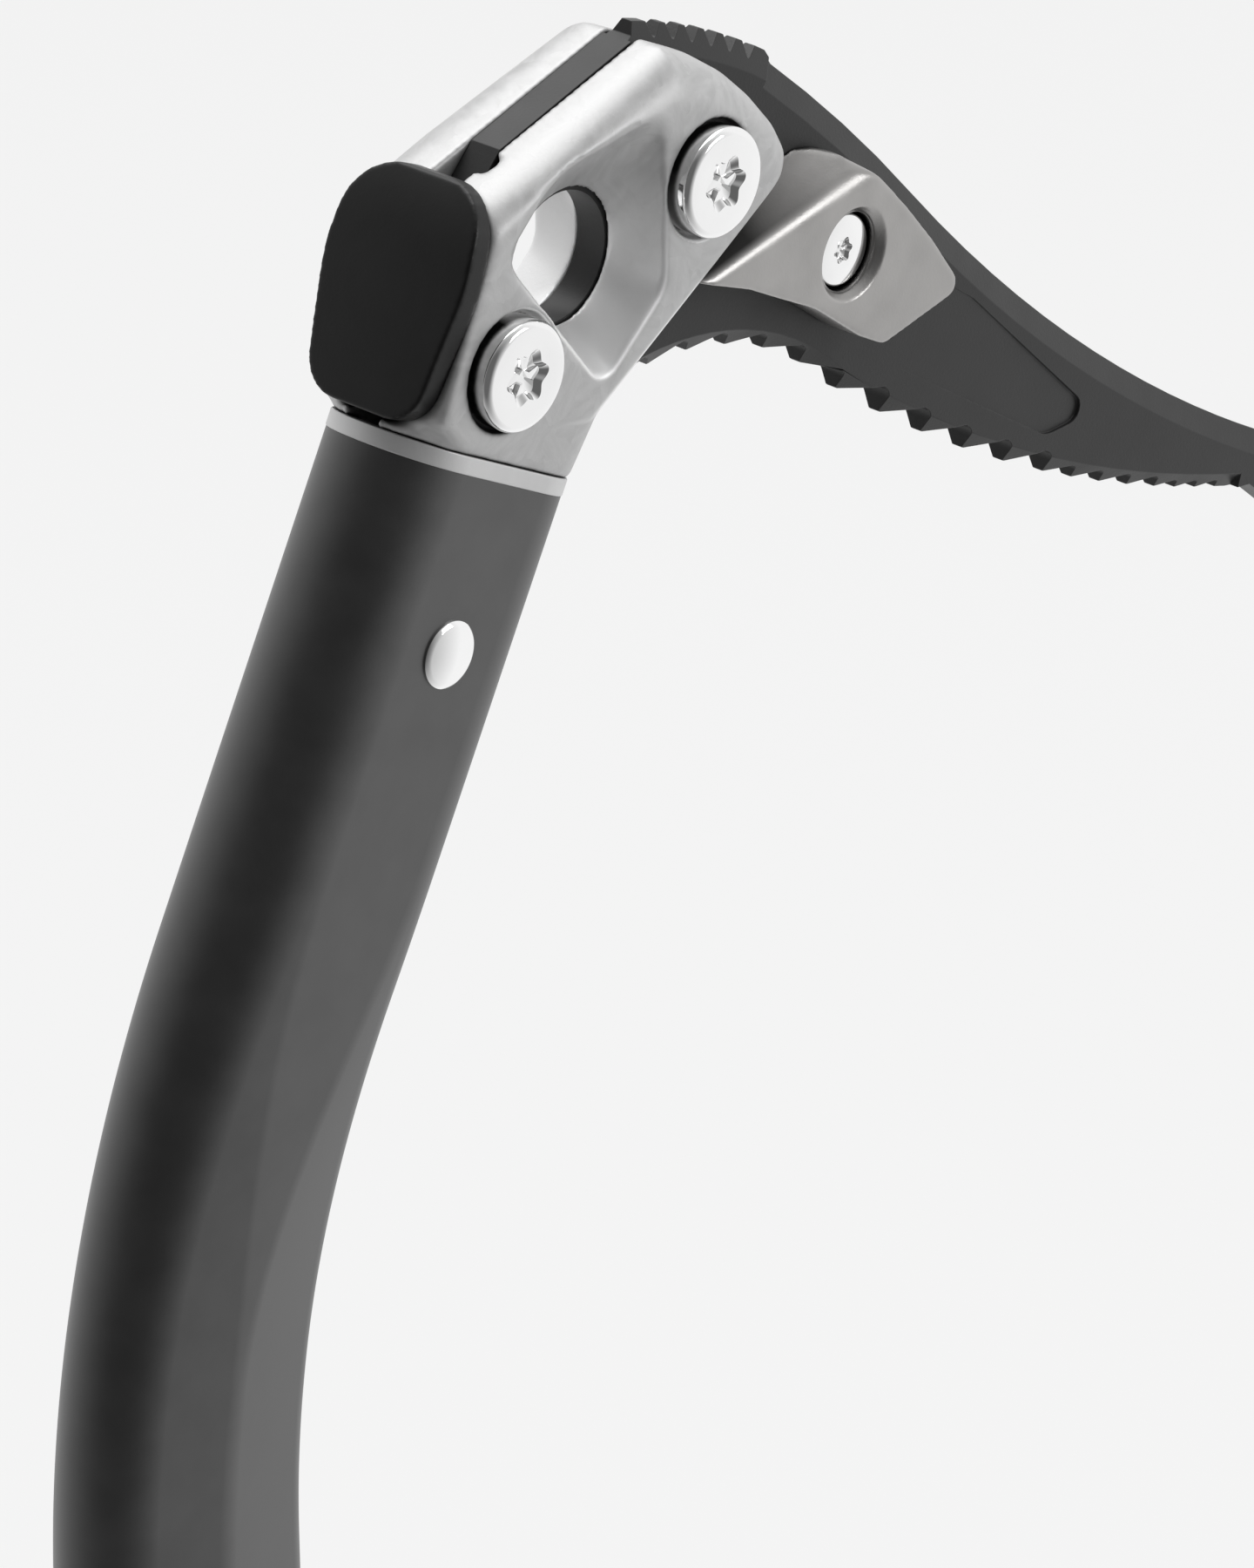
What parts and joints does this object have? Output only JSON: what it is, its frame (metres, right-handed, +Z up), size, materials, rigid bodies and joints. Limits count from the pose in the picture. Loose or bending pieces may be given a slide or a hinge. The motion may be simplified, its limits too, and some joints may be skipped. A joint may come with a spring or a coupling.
{
  "type": "ice climbing tool",
  "caption": "Ice climbing tool with a toothed drooping pick and small hammer bolted in a forked head on a bent black tube shaft, with a rubber grip, sliding hand rest and spike.",
  "frame": {"origin": "centre of the carabiner hole in the head, on the tool's mid plane", "axes": "+X towards the pick's tip, +Y across the tool along the carabiner hole, +Z up along the straight middle of the shaft, towards the head"},
  "size_m": [0.2233, 0.028, 0.484],
  "materials": {
    "head_alloy": "forged and blasted, satin",
    "collar_alloy": "satin",
    "shaft_anodised": "black anodised, satin",
    "pick_steel": "dark, fine matt",
    "hammer_black": "black, satin",
    "weight_steel": "satin",
    "polished_steel": "polished",
    "plain_steel": "plain",
    "grip_rubber": "matt",
    "rest_plastic": "fine grain"
  },
  "bodies": {
    "tool": {"head": "head_alloy", "collar": "collar_alloy", "shaft": "shaft_anodised", "shaft_rivet": "polished_steel", "pick": "pick_steel", "upper_pick_bolt": "polished_steel", "lower_pick_bolt": "polished_steel", "upper_pick_nut": "plain_steel", "lower_pick_nut": "plain_steel", "hammer": "hammer_black", "near_weight": "weight_steel", "far_weight": "weight_steel", "weight_screw": "polished_steel", "weight_nut": "plain_steel", "finger_rest": "rest_plastic", "finger_rest_screw": "plain_steel", "finger_rest_nut": "plain_steel", "grip": "grip_rubber", "spike": "pick_steel", "spike_plug": "rest_plastic", "spike_rivets": "polished_steel"},
    "hand_rest": {"hand_rest": "rest_plastic", "hand_rest_pad": "grip_rubber", "hand_rest_bolt": "plain_steel", "hand_rest_nut": "plain_steel"}
  },
  "joints": [
    {"name": "hand_rest_slide", "type": "slide", "parent": "tool", "child": "hand_rest", "axis": [0.3746, 0, -0.9272], "range_m": [0, 0.014]}
  ]
}
